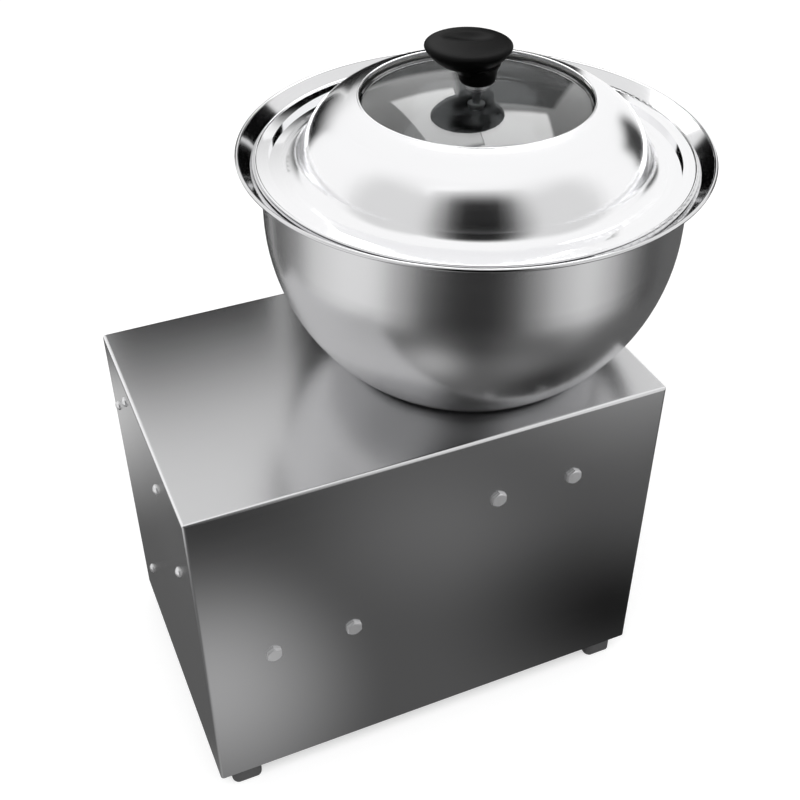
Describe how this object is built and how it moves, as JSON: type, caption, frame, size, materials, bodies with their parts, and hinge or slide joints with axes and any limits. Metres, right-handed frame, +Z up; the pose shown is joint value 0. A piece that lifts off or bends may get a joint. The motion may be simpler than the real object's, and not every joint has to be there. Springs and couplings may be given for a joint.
{
  "type": "electric dough mixer",
  "caption": "Bench-top dough mixer: square-edged steel casing, fixed round bowl with a geared mixing hook, domed lid with a glass window and black knob.",
  "frame": {"origin": "on the surface the mixer stands on, under the middle of the casing's footprint", "axes": "+Z up; +X along the casing's long side, towards the bowl; -Y out of the plain long front panel with the four bolts; +Y out of the panel with the switch and the cable inlet"},
  "size_m": [0.3839, 0.297, 0.4764],
  "materials": {
    "brushed_steel_sheet": "satin brushed",
    "polished_steel": "polished stainless",
    "satin_steel": "satin stainless",
    "plated_steel": "zinc plated",
    "black_steel": "black oxide",
    "galvanised_sheet": "galvanised",
    "cast_alloy": "as cast",
    "lamination_steel": "stacked laminations",
    "machined_steel": "turned and ground",
    "copper_wire": "enamelled copper",
    "drive_rubber": "matt",
    "foot_rubber": "matt",
    "white_silicone": "translucent white",
    "seal_rubber": "matt",
    "window_glass": "clear toughened glass",
    "black_plastic": "satin black",
    "dark_plastic": "moulded",
    "pale_plastic": "moulded"
  },
  "bodies": {
    "casing": {"body_shell": "brushed_steel_sheet", "base_plate": "galvanised_sheet", "rubber_feet": "foot_rubber", "foot_screws": "plated_steel", "foot_nuts": "plated_steel", "frame_bolts": "plated_steel", "frame_nuts": "plated_steel", "gearbox_bridge": "galvanised_sheet", "motor_bridge": "galvanised_sheet", "gearbox_case": "cast_alloy", "gearbox_cover": "cast_alloy", "gearbox_screws": "black_steel", "output_bearings": "machined_steel", "input_bearings": "machined_steel", "bowl": "satin_steel", "bowl_gasket": "white_silicone", "bowl_hub": "satin_steel", "shaft_seal": "seal_rubber", "bowl_screws": "polished_steel", "motor_upper_shield": "cast_alloy", "motor_stator": "lamination_steel", "motor_windings": "copper_wire", "motor_lower_shield": "cast_alloy", "motor_bearings": "machined_steel", "motor_bolts": "plated_steel", "fan_cowl": "black_steel", "drive_belt": "drive_rubber", "electrics_plate": "galvanised_sheet", "capacitor": "pale_plastic", "capacitor_clamp": "galvanised_sheet", "terminal_block": "pale_plastic", "side_screws": "plated_steel", "side_nuts": "plated_steel", "switch_housing": "dark_plastic", "cable_gland": "dark_plastic", "gland_cap": "dark_plastic", "gland_nut": "dark_plastic"},
    "hook": {"output_shaft": "machined_steel", "output_gear": "machined_steel", "gear_key": "machined_steel", "mixing_hook": "satin_steel", "hook_nut": "polished_steel"},
    "pinion": {"pinion_shaft": "machined_steel", "driven_pulley": "cast_alloy", "pulley_nut": "plated_steel"},
    "motor": {"motor_rotor": "cast_alloy", "motor_shaft": "machined_steel", "motor_pulley": "cast_alloy", "cooling_fan": "dark_plastic"},
    "lid": {"lid_dome": "polished_steel", "lid_glass": "window_glass", "glass_gasket": "white_silicone", "glass_retainer": "satin_steel", "lid_knob": "black_plastic", "knob_screw": "plated_steel", "knob_washers": "satin_steel"},
    "rocker": {"switch_rocker": "black_plastic"}
  },
  "joints": [
    {"name": "hook_spin", "type": "hinge", "parent": "casing", "child": "hook", "pos_m": [0.068, 0, 0.263], "axis": [0, 0, 1], "continuous": true},
    {"name": "pinion_spin", "type": "hinge", "parent": "casing", "child": "pinion", "pos_m": [-0.002, 0, 0.213], "axis": [0, 0, 1], "continuous": true},
    {"name": "motor_spin", "type": "hinge", "parent": "casing", "child": "motor", "pos_m": [-0.09, 0, 0.133], "axis": [0, 0, 1], "continuous": true},
    {"name": "lid_lift", "type": "slide", "parent": "casing", "child": "lid", "axis": [0, 0, 1], "range_m": [0, 0.15]},
    {"name": "rocker_tip", "type": "hinge", "parent": "casing", "child": "rocker", "pos_m": [-0.104, 0.1015, 0.22], "axis": [-1, 0, 0], "range_deg": [0, 20]}
  ],
  "couplings": [
    {"joint": "pinion_spin", "follows": "hook_spin", "ratio": -4.3846},
    {"joint": "motor_spin", "follows": "hook_spin", "ratio": -14.128}
  ]
}
